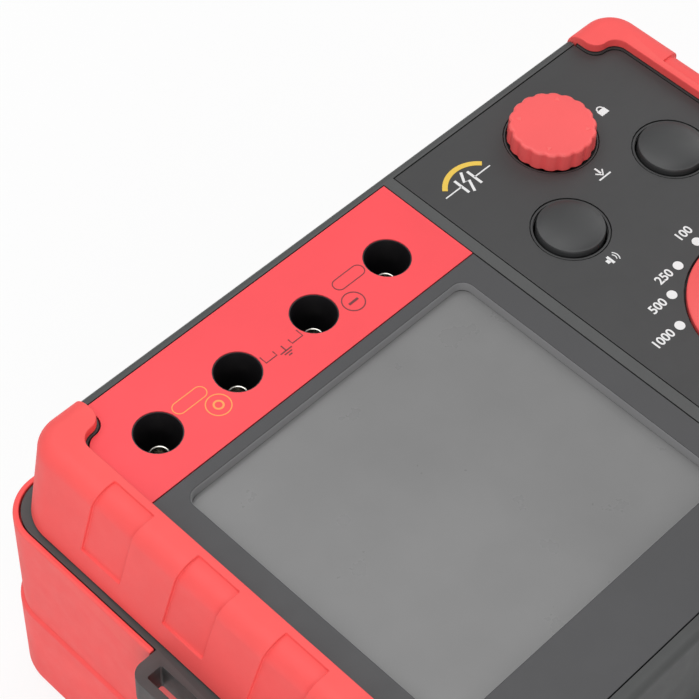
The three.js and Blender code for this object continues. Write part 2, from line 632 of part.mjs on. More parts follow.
// Lug outline in plan, from inside the case out to the strap bar.
function lugPlate(side, grow, z0, z1) {
  const inner = REAR_LENGTH / 2 - 14;
  const outer = LUG_END + grow;
  const half = LUG_HALF + grow;
  return roundPlate(Math.min(side * inner, side * outer), Math.max(side * inner, side * outer), -half, half,
    LUG_CORNER, z0, z1, 5);
}
const strapSlot = (side) =>
  roundPlate(
    Math.min(side * (LUG_END - STRAP_BAR), side * (LUG_END - STRAP_BAR - STRAP_SLOT)),
    Math.max(side * (LUG_END - STRAP_BAR), side * (LUG_END - STRAP_BAR - STRAP_SLOT)),
    -STRAP_SLOT_HALF, STRAP_SLOT_HALF, 0.6, LUG_FOOT - 1, LUG_TOP + 1, 2);

function doorOutline(gap) {
  const half = BAY_HALF_X + gap;
  return (z0, z1, tongue = 0) =>
    block(-half - tongue, half + tongue, -200, DOOR_BACK + gap, z0, z1);
}

function rearCase() {
  const [length, depth] = [REAR_LENGTH - 2 * UNDER_BOOT, REAR_DEPTH - 2 * UNDER_BOOT];
  const underBoots = drafted(length, depth, REAR_CORNER - UNDER_BOOT, [
    [FLOOR_Z, -FOOT_EDGE + 1],
    [FLOOR_Z + FOOT_EDGE - 1, 0],
    [PART_Z - FIT, 0],
  ]);
  const between = drafted(REAR_LENGTH, REAR_DEPTH, REAR_CORNER, [
    [FLOOR_Z, -FOOT_EDGE],
    [FLOOR_Z + FOOT_EDGE, 0],
    [PART_Z - FIT, 0],
  ]).intersect(block(-TAB_END - SPREAD + FIT, TAB_END + SPREAD - FIT, -150, 150, 0, 100));
  const rail = drafted(REAR_LENGTH - 2 * RIM_WIDTH - 2 * FIT, REAR_DEPTH - 2 * RIM_WIDTH - 2 * FIT,
    REAR_CORNER - RIM_WIDTH, [[RAIL_Z, 0], [PART_Z - FIT, 0]]);
  const inset = UNDER_BOOT + WALL;
  const hollow = drafted(REAR_LENGTH - 2 * inset, REAR_DEPTH - 2 * inset, REAR_CORNER - inset, [
    [FLOOR_Z + FLOOR_SHEET, 0],
    [PART_Z + 1, 0],
  ]);
  const lugs = Object.values(SIDES).map((side) => cut(lugPlate(side, 0, LUG_FOOT, LUG_TOP), strapSlot(side)));
  const shell = cut(join(underBoots, between, rail, ...lugs), hollow);
  const [bayX, bayY] = [BAY_HALF_X + BAY_WALL, BAY_HALF_Y + BAY_WALL];
  const bayBox = block(-bayX, bayX, -bayY, bayY, FLOOR_Z + 1, BAY_ROOF + BAY_WALL);
  const bayRoom = block(-BAY_HALF_X, BAY_HALF_X, -BAY_HALF_Y, BAY_HALF_Y, 0, BAY_ROOF);
  const towers = POSTS.map(([x, y]) => cylinder(x, y, POST_DIAMETER + 2, FLOOR_Z + 1, TOWER_TOP, 20));
  const screwHoles = POSTS.flatMap(([x, y]) => [
    cylinder(x, y, SCREW_HEAD + 2 * FIT, 0, SCREW_SEAT, 20),
    cylinder(x, y, SCREW_DIAMETER + 2 * FIT, 0, TOWER_TOP + 1, 12),
  ]);
  const door = doorOutline(FIT);
  // The door's channel leaves a sill of floor along the front of the bay, above the door.
  const channel = [
    door(0, DOOR_TOP + FIT),
    door(TONGUE_Z - FIT, TONGUE_Z + TONGUE_THICK + FIT, DOOR_TONGUE),
  ];
  return cut(join(shell, bayBox, ...towers), bayRoom, ...screwHoles, ...channel);
}

const TOWER_TOP = BOARD_TOP - BOARD_THICK - FIT;
const SCREW_SEAT = TOWER_TOP - 4;
const DOOR_TOP = FLOOR_Z + FLOOR_SHEET - 0.6;
const TONGUE_Z = FLOOR_Z + 1;
const TONGUE_THICK = 1.2;

piece("rear_case", rearCase(), CASE_GREY);

// ---- rear boots -----------------------------------------------------------------------------
const REAR_TAB_END = TAB_END + SPREAD;

function rearBoot(side) {
  const top = PART_Z;
  const skirt = drafted(REAR_LENGTH, REAR_DEPTH, REAR_CORNER, [
    [0, SKIRT_STEP - FOOT_EDGE],
    [FOOT_EDGE * 0.3, SKIRT_STEP - FOOT_EDGE * 0.3],
    [FOOT_EDGE, SKIRT_STEP],
    [SKIRT_Z - SKIRT_STEP, SKIRT_STEP],
    [SKIRT_Z, 0],
    [top - 0.4, 0],
    [top, -0.4],
  ], 5);
  const ledge = drafted(REAR_LENGTH - 2 * RIM_WIDTH, REAR_DEPTH - 2 * RIM_WIDTH, REAR_CORNER - RIM_WIDTH, [
    [RAIL_Z - FIT, 0],
    [top + 1, 0],
  ]);
  const room = drafted(REAR_LENGTH - 2 * REAR_BOOT_WALL, REAR_DEPTH - 2 * REAR_BOOT_WALL,
    REAR_CORNER - REAR_BOOT_WALL, [
      [REAR_BOOT_LIP, 1 - FOOT_EDGE],
      [REAR_BOOT_LIP + FOOT_EDGE - 1, 0],
      [top + 1, 0],
    ]);
  const fold = REAR_LENGTH / 2 - REAR_BOOT_FOLD;
  const window = roundPlate(-fold, fold, -REAR_DEPTH / 2 + REAR_BOOT_FOLD, REAR_DEPTH / 2 - REAR_BOOT_FOLD, 5,
    -1, REAR_BOOT_LIP + 1);
  const notch = lugPlate(side, FIT, LUG_FOOT - FIT, top + 1);
  return cut(skirt.intersect(endRegion(side, REAR_TAB_END)), ledge, room, window, notch);
}
for (const [name, side] of Object.entries(SIDES)) {
  piece("rear_boot_" + name, rearBoot(side), BOOT_RED);
}

// ---- battery door and cells -----------------------------------------------------------------
const REAR_FRONT = -REAR_DEPTH / 2 + FOOT_EDGE;
function batteryDoor() {
  const half = BAY_HALF_X;
  const body = block(-half, half, REAR_FRONT, DOOR_BACK, FLOOR_Z, DOOR_TOP);
  const wide = half + DOOR_TONGUE - FIT;
  const tongues = block(-wide, wide, REAR_FRONT + 6, DOOR_BACK, TONGUE_Z, TONGUE_Z + TONGUE_THICK);
  const grips = Array.from({ length: 5 }, (_, k) => {
    const y = REAR_FRONT + 8 + k * 2.4;
    return block(-12, 12, y, y + 1.2, FLOOR_Z - 1, FLOOR_Z + 0.6);
  });
  return cut(join(body, tongues), ...grips);
}
piece("battery_door", batteryDoor(), CASE_GREY);

const CELL_Z = BAY_ROOF - FIT - CELL_DIAMETER / 2;
for (let row = 0; row < CELL_ROWS; row++) {
  for (const [name, side] of Object.entries(SIDES)) {
    const y = (row - (CELL_ROWS - 1) / 2) * CELL_PITCH;
    const facing = row % 2 ? -1 : 1; // the rows run to and fro, so the cells are in series
    const nub = 1;
    const body = turned([[0, 0], [CELL_DIAMETER / 2, 0], [CELL_DIAMETER / 2, CELL_LENGTH - nub - 0.3],
      [2.6, CELL_LENGTH - nub - 0.3], [2.6, CELL_LENGTH - FIT], [0, CELL_LENGTH - FIT]], 20);
    const cell = piece("battery_cell_" + name + "_" + (row + 1), body, CELL_SLEEVE);
    const start = side < 0 ? -CELL_LENGTH : 0;
    cell.rotation.y = (facing * Math.PI) / 2;
    cell.position.set(facing > 0 ? start : start + CELL_LENGTH, y, CELL_Z);
  }
}
for (const [name, side] of Object.entries(SIDES)) {
  const x = side * (BAY_HALF_X - FIT);
  const [low, high] = [FLOOR_Z + FLOOR_SHEET + 1, BAY_ROOF - FIT];
  const sheet = block(x, x - side * 0.8, -BAY_HALF_Y + FIT, BAY_HALF_Y - FIT, low, high);
  const humps = Array.from({ length: CELL_ROWS }, (_, row) => {
    const y = (row - (CELL_ROWS - 1) / 2) * CELL_PITCH;
    const deep = CONTACT_ROOM - 2 * FIT;
    const cone = new THREE.CylinderGeometry(1.2, 4.4, deep, 12).rotateZ((side * Math.PI) / 2);
    return solid(cone, x - (side * deep) / 2, y, CELL_Z);
  });
  piece("battery_contact_" + name, join(sheet, ...humps), NICKEL);
}

// ---- board and what it carries --------------------------------------------------------------
const BOARD_X = PANEL_LENGTH / 2 - BOARD_END_GAP;
const BOARD_Y = PANEL_DEPTH / 2 - BOARD_SIDE_GAP;
const boardHoles = POSTS.map(([x, y]) => cylinder(x, y, SCREW_DIAMETER + 2 * FIT, 0, 100, 12));
piece(
  "main_board",
  cut(
    roundPlate(-BOARD_X, BOARD_X, -BOARD_Y, BOARD_Y, 3, BOARD_TOP - BOARD_THICK, BOARD_TOP),
    ...boardHoles,
  ),
  BOARD_GREEN,
);
const UNDER = BOARD_TOP - BOARD_THICK - FIT; // parts hang from the board's underside
piece(
  "step_up_transformer",
  join(
    block(-62, -34, -12, 12, UNDER - 20, UNDER),
    block(-66, -30, -8, 8, UNDER - 16, UNDER - 4),
  ),
  COPPER,
);
piece("high_voltage_module", roundPlate(-22, 22, 18, 48, 3, UNDER - 14, UNDER), DARK_PLASTIC);
piece("discharge_resistor", roundPlate(30, 62, 34, 44, 2, UNDER - 9, UNDER), CERAMIC);
const buzzerHole = cylinder(60, -44, 2, UNDER - 9, UNDER - 4, 8);
piece("buzzer", cut(cylinder(60, -44, 14, UNDER - 8, UNDER), buzzerHole), DARK_PLASTIC);
const FUSE_Y = -46;
const fuseTube = new THREE.CylinderGeometry(2.6, 2.6, 30, 16).rotateZ(Math.PI / 2);
piece("fuse", solid(fuseTube, 0, FUSE_Y, UNDER - 6), CERAMIC);
piece(
  "fuse_holder",
  cut(
    join(
      block(-17, 17, FUSE_Y - 4, FUSE_Y + 4, UNDER - 2, UNDER),
      block(-15, -9, FUSE_Y - 4, FUSE_Y + 4, UNDER - 8, UNDER - 1),
      block(9, 15, FUSE_Y - 4, FUSE_Y + 4, UNDER - 8, UNDER - 1),
    ),
    block(-16, 16, FUSE_Y - 2.6 - FIT, FUSE_Y + 2.6 + FIT, UNDER - 10, UNDER - 6 + 2.6 + FIT),
  ),
  STEEL,
);

// ---- case screws ----------------------------------------------------------------------------
POSTS.forEach(([x, y], k) => {
  const head = SCREW_SEAT - FIT;
  const screw = cut(
    join(
      cylinder(x, y, SCREW_HEAD, head - 2.2, head, 20),
      cylinder(x, y, SCREW_DIAMETER, head - 1, POST_FOOT + SCREW_GRIP - 1, 12),
    ),
    block(x - 1.6, x + 1.6, y - 0.4, y + 0.4, head - 3, head - 1.2),
    block(x - 0.4, x + 0.4, y - 1.6, y + 1.6, head - 3, head - 1.2),
  );
  piece("case_screw_" + (k + 1), screw, STEEL);
});

export default tester;
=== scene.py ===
from math import cos, hypot, pi, radians, sin

import bmesh
import bpy
from mathutils import Matrix, Vector


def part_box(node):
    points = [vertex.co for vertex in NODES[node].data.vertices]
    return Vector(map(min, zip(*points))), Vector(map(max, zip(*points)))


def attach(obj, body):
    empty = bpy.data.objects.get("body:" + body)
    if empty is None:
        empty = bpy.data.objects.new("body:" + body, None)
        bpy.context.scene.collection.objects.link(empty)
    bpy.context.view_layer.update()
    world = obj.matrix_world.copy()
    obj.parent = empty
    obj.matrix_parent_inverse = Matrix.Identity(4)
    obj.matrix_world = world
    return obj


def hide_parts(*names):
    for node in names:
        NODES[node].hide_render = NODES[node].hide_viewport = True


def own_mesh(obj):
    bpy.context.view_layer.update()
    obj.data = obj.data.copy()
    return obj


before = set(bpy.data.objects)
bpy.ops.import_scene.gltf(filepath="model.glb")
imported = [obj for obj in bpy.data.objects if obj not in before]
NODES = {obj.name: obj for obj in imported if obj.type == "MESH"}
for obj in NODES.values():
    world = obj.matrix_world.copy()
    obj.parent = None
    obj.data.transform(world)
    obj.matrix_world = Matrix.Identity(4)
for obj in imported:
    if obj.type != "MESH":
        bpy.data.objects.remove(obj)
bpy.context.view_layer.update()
MM = 0.001


def node_box(name):
    """Lowest and highest corner of a CAD node, in millimetres."""
    low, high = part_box(name)
    return Vector(low) / MM, Vector(high) / MM


# ---- camera and studio -----------------------------------------------------------------------
CAMERA_AZIMUTH = radians(-47.69)
CAMERA_ELEVATION = radians(52.13)
CAMERA_ROLL = radians(2.985)
CAMERA_DISTANCE = 0.5117
CAMERA_TARGET = Vector((-0.02791, 0.03519, 0.0875))
CAMERA_LENS = 118.97


def make_camera():
    data = bpy.data.cameras.new("camera")
    data.lens = CAMERA_LENS
    data.sensor_width = 36
    camera = bpy.data.objects.new("camera", data)
    bpy.context.scene.collection.objects.link(camera)
    level = cos(CAMERA_ELEVATION)
    back = Vector((sin(CAMERA_AZIMUTH) * level, -cos(CAMERA_AZIMUTH) * level, sin(CAMERA_ELEVATION)))
    camera.location = CAMERA_TARGET + back * CAMERA_DISTANCE
    facing = (-back).to_track_quat("-Z", "Y").to_matrix().to_4x4()
    camera.rotation_euler = (facing @ Matrix.Rotation(CAMERA_ROLL, 4, "Z")).to_euler()
    bpy.context.scene.camera = camera


def area_light(name, place, aim, size, power, tint=(1, 1, 1)):
    data = bpy.data.lights.new(name, "AREA")
    data.shape = "RECTANGLE"
    data.size, data.size_y = size
    data.energy = power
    data.color = tint
    lamp = bpy.data.objects.new(name, data)
    bpy.context.scene.collection.objects.link(lamp)
    lamp.location = place
    lamp.rotation_euler = (Vector(aim) - Vector(place)).to_track_quat("-Z", "Y").to_euler()


def make_studio():
    scene = bpy.context.scene
    scene.view_settings.view_transform = "Standard"
    world = bpy.data.worlds.new("studio")
    scene.world = world
    world.use_nodes = True
    tree = world.node_tree
    tree.nodes.clear()
    out = tree.nodes.new("ShaderNodeOutputWorld")
    soft = tree.nodes.new("ShaderNodeBackground")
    soft.inputs["Color"].default_value = (1, 1, 1, 1)
    soft.inputs["Strength"].default_value = 0.46
    white = tree.nodes.new("ShaderNodeBackground")
    white.inputs["Color"].default_value = (1, 1, 1, 1)
    white.inputs["Strength"].default_value = 1
    ray = tree.nodes.new("ShaderNodeLightPath")
    mix = tree.nodes.new("ShaderNodeMixShader")
    tree.links.new(ray.outputs["Is Camera Ray"], mix.inputs["Fac"])
    tree.links.new(soft.outputs[0], mix.inputs[1])
    tree.links.new(white.outputs[0], mix.inputs[2])
    tree.links.new(mix.outputs[0], out.inputs[0])
    area_light("softbox", (-0.15, 0.25, 0.95), (0, 0, 0.05), (1.2, 1.0), 5.8)
    area_light("front_fill", (-0.75, -0.75, 0.45), (0, 0, 0.05), (0.8, 0.6), 3.4)
    area_light("right_fill", (0.8, 0.1, 0.6), (0, 0, 0.05), (0.6, 0.5), 1.3)
    make_floor()


def make_floor():
    mesh = bpy.data.meshes.new("floor")
    side = 3.0
    mesh.from_pydata([(-side, -side, 0), (side, -side, 0), (side, side, 0), (-side, side, 0)], [], [(0, 1, 2, 3)])
    floor = bpy.data.objects.new("floor", mesh)
    bpy.context.scene.collection.objects.link(floor)
    material = bpy.data.materials.new("floor")
    material.use_nodes = True
    tree = material.node_tree
    shade = tree.nodes["Principled BSDF"]
    shade.inputs["Base Color"].default_value = (0.9, 0.9, 0.9, 1)
    shade.inputs["Roughness"].default_value = 0.7
    glow = tree.nodes.new("ShaderNodeEmission")
    glow.inputs["Color"].default_value = (1, 1, 1, 1)
    glow.inputs["Strength"].default_value = 1
    ray = tree.nodes.new("ShaderNodeLightPath")
    dim = tree.nodes.new("ShaderNodeMath")
    dim.operation = "MULTIPLY"
    dim.inputs[1].default_value = 0.86
    tree.links.new(ray.outputs["Is Camera Ray"], dim.inputs[0])
    mix = tree.nodes.new("ShaderNodeMixShader")
    tree.links.new(dim.outputs[0], mix.inputs["Fac"])
    tree.links.new(shade.outputs[0], mix.inputs[1])
    tree.links.new(glow.outputs[0], mix.inputs[2])
    tree.links.new(mix.outputs[0], tree.nodes["Material Output"].inputs["Surface"])
    mesh.materials.append(material)


# ---- materials -------------------------------------------------------------------------------
class Surface:
    """A Principled material with helpers that add noise-driven detail in object space."""

    def __init__(self, name, color, roughness, **sockets):
        self.material = bpy.data.materials.new(name)
        self.material.use_nodes = True
        self.tree = self.material.node_tree
        self.shader = self.tree.nodes["Principled BSDF"]
        self.color = color
        self.shader.inputs["Base Color"].default_value = (*color, 1)
        self.shader.inputs["Roughness"].default_value = roughness
        for socket, value in sockets.items():
            self.shader.inputs[socket.replace("_", " ")].default_value = value
        self.place = self.tree.nodes.new("ShaderNodeTexCoord").outputs["Object"]
        self.height = None

    def add(self, kind, **settings):
        node = self.tree.nodes.new("ShaderNode" + kind)
        for key, value in settings.items():
            setattr(node, key, value)
        return node

    def wire(self, source, target):
        self.tree.links.new(source, target)

    def noise(self, size_mm, detail=3.0, rough=0.5):
        node = self.add("TexNoise")
        node.inputs["Scale"].default_value = 1000 / size_mm
        node.inputs["Detail"].default_value = detail
        node.inputs["Roughness"].default_value = rough
        self.wire(self.place, node.inputs["Vector"])
        return node.outputs["Fac"]

    def spread(self, source, low, high, start=0.3, end=0.7):
        node = self.add("MapRange")
        for socket, value in (("From Min", start), ("From Max", end), ("To Min", low), ("To Max", high)):
            node.inputs[socket].default_value = value
        self.wire(source, node.inputs["Value"])
        return node.outputs["Result"]

    def mottle(self, size_mm, amount, other=None):
        """Drifts the colour gently towards a paler or given one."""
        other = other or tuple(min(1, c * (1 + amount) + amount * 0.02) for c in self.color)
        darker = tuple(c * (1 - amount) for c in self.color)
        mix = self.add("Mix", data_type="RGBA")
        mix.inputs[6].default_value = (*darker, 1)
        mix.inputs[7].default_value = (*other, 1)
        self.wire(self.spread(self.noise(size_mm, 4), 0, 1), mix.inputs[0])
        self.wire(mix.outputs[2], self.shader.inputs["Base Color"])
        self.paint = mix.outputs[2]
        return self

    def satin(self, size_mm, low, high):
        self.wire(self.spread(self.noise(size_mm, 5, 0.6), low, high), self.shader.inputs["Roughness"])
        return self

    def grain(self, size_mm, depth_mm, strength=0.5, detail=2.0):
        bump = self.add("Bump")
        bump.inputs["Distance"].default_value = depth_mm * MM
        bump.inputs["Strength"].default_value = strength
        self.wire(self.noise(size_mm, detail), bump.inputs["Height"])
        if self.height:
            self.wire(self.height, bump.inputs["Normal"])
        self.height = bump.outputs["Normal"]
        self.wire(self.height, self.shader.inputs["Normal"])
        return self

    def worn_edges(self, color, amount=0.35):
        """Lighter colour where the surface turns sharply outward."""
        geometry = self.add("NewGeometry")
        edge = self.spread(geometry.outputs["Pointiness"], 0, amount, 0.52, 0.6)
        mix = self.add("Mix", data_type="RGBA")
        mix.inputs[7].default_value = (*color, 1)
        self.wire(self.paint, mix.inputs[6])
        self.wire(edge, mix.inputs[0])
        self.wire(mix.outputs[2], self.shader.inputs["Base Color"])
        self.paint = mix.outputs[2]
        return self


def moulded(name, color, roughness, grain=0.35, depth=0.03, mottle=0.06, **sockets):
    surface = Surface(name, color, roughness, **sockets)
    surface.mottle(30, mottle).satin(6, roughness - 0.06, roughness + 0.06)
    surface.grain(grain, depth, 0.5).grain(18, 0.12, 0.15)
    return surface


def make_materials():
    looks = {
        "case": moulded("case_grey", (0.050, 0.052, 0.052), 0.54, 0.30, 0.030).worn_edges((0.15, 0.15, 0.15), 0.2),
        "bezel": moulded("bezel_grey", (0.056, 0.056, 0.059), 0.45, 0.22, 0.012, 0.04),
        "inlay": moulded("inlay_grey", (0.040, 0.040, 0.041), 0.50, 0.25, 0.015, 0.05),
        "boot": moulded("boot_red", (0.93, 0.098, 0.095), 0.55, 0.45, 0.022, 0.05, Specular_IOR_Level=0.35)
        .worn_edges((0.95, 0.16, 0.14), 0.25),
        "panel": moulded("panel_red", (0.93, 0.072, 0.086), 0.42, 0.25, 0.010, 0.04, Specular_IOR_Level=0.4),
        "knob": moulded("knob_red", (0.93, 0.105, 0.105), 0.42, 0.30, 0.010, 0.05).worn_edges((1, 0.25, 0.22), 0.3),
        "key": moulded("key_black", (0.036, 0.037, 0.038), 0.40, 0.28, 0.014, 0.06),
        "dark": moulded("dark_plastic", (0.012, 0.011, 0.013), 0.45, 0.3, 0.02),
        "nickel": moulded("nickel", (0.72, 0.70, 0.64), 0.26, 0.8, 0.006, 0.08, Metallic=1.0),
        "steel": moulded("zinc_steel", (0.52, 0.53, 0.55), 0.34, 0.6, 0.01, 0.1, Metallic=1.0),
        "board": moulded("solder_mask", (0.015, 0.13, 0.05), 0.35, 1.2, 0.03, 0.15),
        "copper": moulded("winding", (0.42, 0.17, 0.05), 0.35, 0.5, 0.08, 0.15, Metallic=0.7),
        "ceramic": moulded("ceramic", (0.8, 0.75, 0.62), 0.3, 0.6, 0.01),
        "cell": moulded("cell_sleeve", (0.03, 0.09, 0.2), 0.3, 0.5, 0.01),
        "white": moulded("print_white", (0.80, 0.80, 0.80), 0.5, 0.3, 0.005, 0.03),
        "orange": moulded("print_orange", (1.0, 0.37, 0.10), 0.5, 0.3, 0.005, 0.03),
        "yellow": moulded("print_yellow", (0.82, 0.55, 0.07), 0.5, 0.3, 0.005, 0.03),
        "black_print": moulded("print_black", (0.16, 0.03, 0.035), 0.5, 0.3, 0.005, 0.03),
        "frame": moulded("frame_grey", (0.24, 0.24, 0.245), 0.5, 0.25, 0.01, 0.04),
        "lcd": lcd_look(),
    }
    return {name: surface.material for name, surface in looks.items()}


def lcd_look():
    """Unlit grey display behind an anti-glare pane: nearly even, with a faint cloudiness."""
    surface = Surface("display_pane", (0.185, 0.185, 0.185), 0.3, Coat_Weight=0.25, Coat_Roughness=0.12)
    surface.mottle(26, 0.055).satin(14, 0.26, 0.36).grain(0.5, 0.003, 0.3)
    return surface


# ---- mesh helpers ------------------------------------------------------------------------------
def new_object(name, mesh):
    piece = bpy.data.objects.new(name, mesh)
    bpy.context.scene.collection.objects.link(piece)
    return piece


def mesh_object(name, points_mm, faces):
    mesh = bpy.data.meshes.new(name)
    mesh.from_pydata([Vector(p) * MM for p in points_mm], [], faces)
    work = bmesh.new()
    work.from_mesh(mesh)
    bmesh.ops.recalc_face_normals(work, faces=work.faces)
    work.to_mesh(mesh)
    work.free()
    return new_object(name, mesh)


def rounded_outline(x0, x1, y0, y1, radius, steps=12):
    """Points anticlockwise round a rectangle with round corners, each with its outward normal."""
    points = []
    for turn, cx, cy in ((0, x1, y1), (1, x0, y1), (2, x0, y0), (3, x1, y0)):
        cx += -radius if turn in (0, 3) else radius
        cy += -radius if turn in (0, 1) else radius
        for k in range(steps + 1):
            angle = (turn + k / steps) * pi / 2
            normal = (cos(angle), sin(angle))
            points.append((cx + radius * normal[0], cy + radius * normal[1], *normal))
    return points


def loft(name, outline, levels):
    """A closed solid through [height, offset] levels of an outline that has normals."""
    points, faces, count = [], [], len(outline)
    for height, offset in levels:
        points += [(x + nx * offset, y + ny * offset, height) for x, y, nx, ny in outline]
    for ring in range(len(levels) - 1):
        for k in range(count):
            a, b = ring * count + k, ring * count + (k + 1) % count
            faces.append((a, b, b + count, a + count))
    faces.append(tuple(range(count - 1, -1, -1)))
    faces.append(tuple(range((len(levels) - 1) * count, len(levels) * count)))
    return mesh_object(name, points, faces)


def prism(name, outline, z0, z1):
    return loft(name, [(p[0], p[1], 0, 0) for p in outline], [(z0, 0), (z1, 0)])


def box_solid(name, low, high):
    outline = [(low[0], low[1]), (high[0], low[1]), (high[0], high[1]), (low[0], high[1])]
    return prism(name, outline, low[2], high[2])


def lathe(name, profile, x=0, y=0, z=0, segments=64):
    """A (radius, height) profile turned about the vertical line through (x, y)."""
    points, faces, rings = [], [], []
    for radius, height in profile:
        if radius < 1e-6:
            rings.append([len(points)])
            points.append((x, y, z + height))
            continue
        rings.append(list(range(len(points), len(points) + segments)))
        for k in range(segments):
            angle = 2 * pi * k / segments
            points.append((x + radius * cos(angle), y + radius * sin(angle), z + height))
    closed = len(rings[0]) > 1
    for a, b in zip(rings, rings[1:] + rings[:1] if closed else rings[1:]):
        for k in range(segments):
            corners = [a[k % len(a)], a[(k + 1) % len(a)], b[(k + 1) % len(b)], b[k % len(b)]]
            faces.append(tuple(dict.fromkeys(corners)))
    return mesh_object(name, points, faces)


def disc_outline(x, y, radius, steps=48):
    return [(x + radius * cos(2 * pi * k / steps), y + radius * sin(2 * pi * k / steps)) for k in range(steps)]


def apply_modifiers(piece):
    depsgraph = bpy.context.evaluated_depsgraph_get()
    mesh = bpy.data.meshes.new_from_object(piece.evaluated_get(depsgraph))
    piece.modifiers.clear()
    piece.data = mesh


def combine(piece, others, operation):
    for other in others:
        step = piece.modifiers.new("step", "BOOLEAN")
        step.object = other
        step.operation = operation
        step.solver = "EXACT"
    apply_modifiers(piece)
    for other in others:
        bpy.data.objects.remove(other, do_unlink=True)
    return piece


def cut(piece, *cutters):
    return combine(piece, cutters, "DIFFERENCE")


def keep_within(piece, *regions):
    return combine(piece, regions, "INTERSECT")


def soften(piece, width_mm, segments=3, angle=28, merge=True):
    """Rounds the sharp edges and smooths the rest."""
    if merge:
        flat = piece.modifiers.new("flat", "DECIMATE")
        flat.decimate_type = "DISSOLVE"
        flat.angle_limit = radians(0.6)
    if width_mm:
        bevel = piece.modifiers.new("edges", "BEVEL")
        bevel.width = width_mm * MM
        bevel.segments = segments
        bevel.limit_method = "ANGLE"
        bevel.angle_limit = radians(angle)
        bevel.harden_normals = False
        bevel.miter_outer = "MITER_ARC"
    apply_modifiers(piece)
    piece.data.shade_smooth()
    piece.data.set_sharp_from_angle(angle=radians(36))
    even = piece.modifiers.new("even", "WEIGHTED_NORMAL")
    even.keep_sharp = True
    return piece


def dress(piece, material, body, slot=None, *replaced):
    piece.data.materials.clear()
    piece.data.materials.append(material)
    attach(piece, body)
    if replaced:
        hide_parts(*replaced)
    return piece


def dress_node(name, material, width_mm=0.3):
    """Keeps a CAD node's shape, with fine rounded edges and a detailed material."""
    node = NODES[name]
    weld = node.modifiers.new("weld", "WELD")
    weld.merge_threshold = 0.00002
    flat = node.modifiers.new("flat", "DECIMATE")
    flat.decimate_type = "DISSOLVE"
    flat.angle_limit = radians(0.6)
    if width_mm:
        bevel = node.modifiers.new("edges", "BEVEL")
        bevel.width = width_mm * MM
        bevel.segments = 2
        bevel.limit_method = "ANGLE"
        bevel.angle_limit = radians(40)
    node.data.shade_smooth()
    smooth = node.modifiers.new("smooth", "EDGE_SPLIT")
    smooth.split_angle = radians(38)
    even = node.modifiers.new("even", "WEIGHTED_NORMAL")
    even.keep_sharp = True
    node.data.materials.clear()
    node.data.materials.append(material)


# ---- places, read from the frame --------------------------------------------------------------
FRONT = node_box("front_case")
PANEL_Z = FRONT[1].z
PART_Z = 62.7
DRAFT = 0.13
PANEL_LENGTH, PANEL_DEPTH = 185.8, 132.2
CORE_DEPTH = PANEL_DEPTH - 5.6
CASE_CORNER = 5
BOOT = node_box("front_boot_left")
LIP_TOP = BOOT[1].z
BOOT_CORNER = 8.3
BOOT_EDGE = 4.6
TAB_END = -BOOT[1].x
LIP_END = 87.9
TAB_DEPTH = 12.4
SPREAD = DRAFT * (PANEL_Z - PART_Z)
REAR = node_box("rear_boot_left")
SKIRT_STEP = 0.8
REAR_HALF_X = -REAR[0].x - SKIRT_STEP
REAR_HALF_Y = REAR[1].y - SKIRT_STEP
REAR_CORNER = 11.3
SKIRT_Z = 30
FOOT_EDGE = 3.4
RIM_WIDTH = 1.4
RAIL_Z = PART_Z - 2.4
LUG_HALF, LUG_REACH, LUG_HEIGHT, LUG_CORNER = 20, 6.5, 8.5, 3.6
SOCKET_HOLE = 11.4
FIT = 0.3


def middle(name):
    low, high = node_box(name)
    return (low + high) / 2


SOCKETS = [middle("socket_contact_%d" % k) for k in range(1, 5)]
KNOB = middle("test_plunger")
DIAL = middle("rotary_switch")
KEYS = {"hold": middle("hold_switch"), "power": middle("power_switch")}


def draft_at(z):
    return DRAFT * (PANEL_Z - z)


def quarter_round(top, radius, offset, steps):
    turn = [k / steps * pi / 2 for k in range(steps + 1)]
    return [(top - radius + radius * sin(a), offset - radius * (1 - cos(a))) for a in turn]


# ---- boots ---------------------------------------------------------------------------------------
def open_face():
    """Outline of the face that the boots' lips leave open, with a round S at each corner tab."""
    bend = (LIP_END - TAB_END) / 2
    shoulder = PANEL_DEPTH / 2 - TAB_DEPTH
    far = PANEL_DEPTH

    def arc(cx, cy, start, end, steps=10):
        span = [radians(start + (end - start) * k / steps) for k in range(steps + 1)]
        return [(cx + bend * cos(a), cy + bend * sin(a)) for a in span]

    corner = [(TAB_END, far)]
    corner += arc(TAB_END + bend, shoulder + 2 * bend, 180, 270)
    corner += arc(TAB_END + bend, shoulder, 90, 0)
    lower = [(x, -y) for x, y in reversed(corner)]
    right = corner + lower
    return right + [(-x, y) for x, y in reversed(right)]


def pad_cutter(side, y, skin_levels, outline):
    """A slanted grip pad, sunk into the boot's skin."""
    width, slant, drop, reach = 12.2, 2.8, 17.5, 30
    foot, head = PANEL_Z - drop, LIP_TOP + 1
    profile = [
        (y - width / 2 - slant / 2, head),
        (y - width / 2 + slant / 2, foot),
        (y + width / 2 + slant / 2, foot),
        (y + width / 2 - slant / 2, head),
    ]
    inner = side * (PANEL_LENGTH / 2 - 3.1)
    outer = inner + side * reach
    points = [(inner, *p) for p in profile] + [(outer, *p) for p in profile]
    faces = [(0, 1, 2, 3), (7, 6, 5, 4), (0, 4, 5, 1), (1, 5, 6, 2), (2, 6, 7, 3), (3, 7, 4, 0)]
    bar = mesh_object("pad_cutter", points, faces)
    return cut(bar, loft("pad_floor", outline, skin_levels(0.7)))


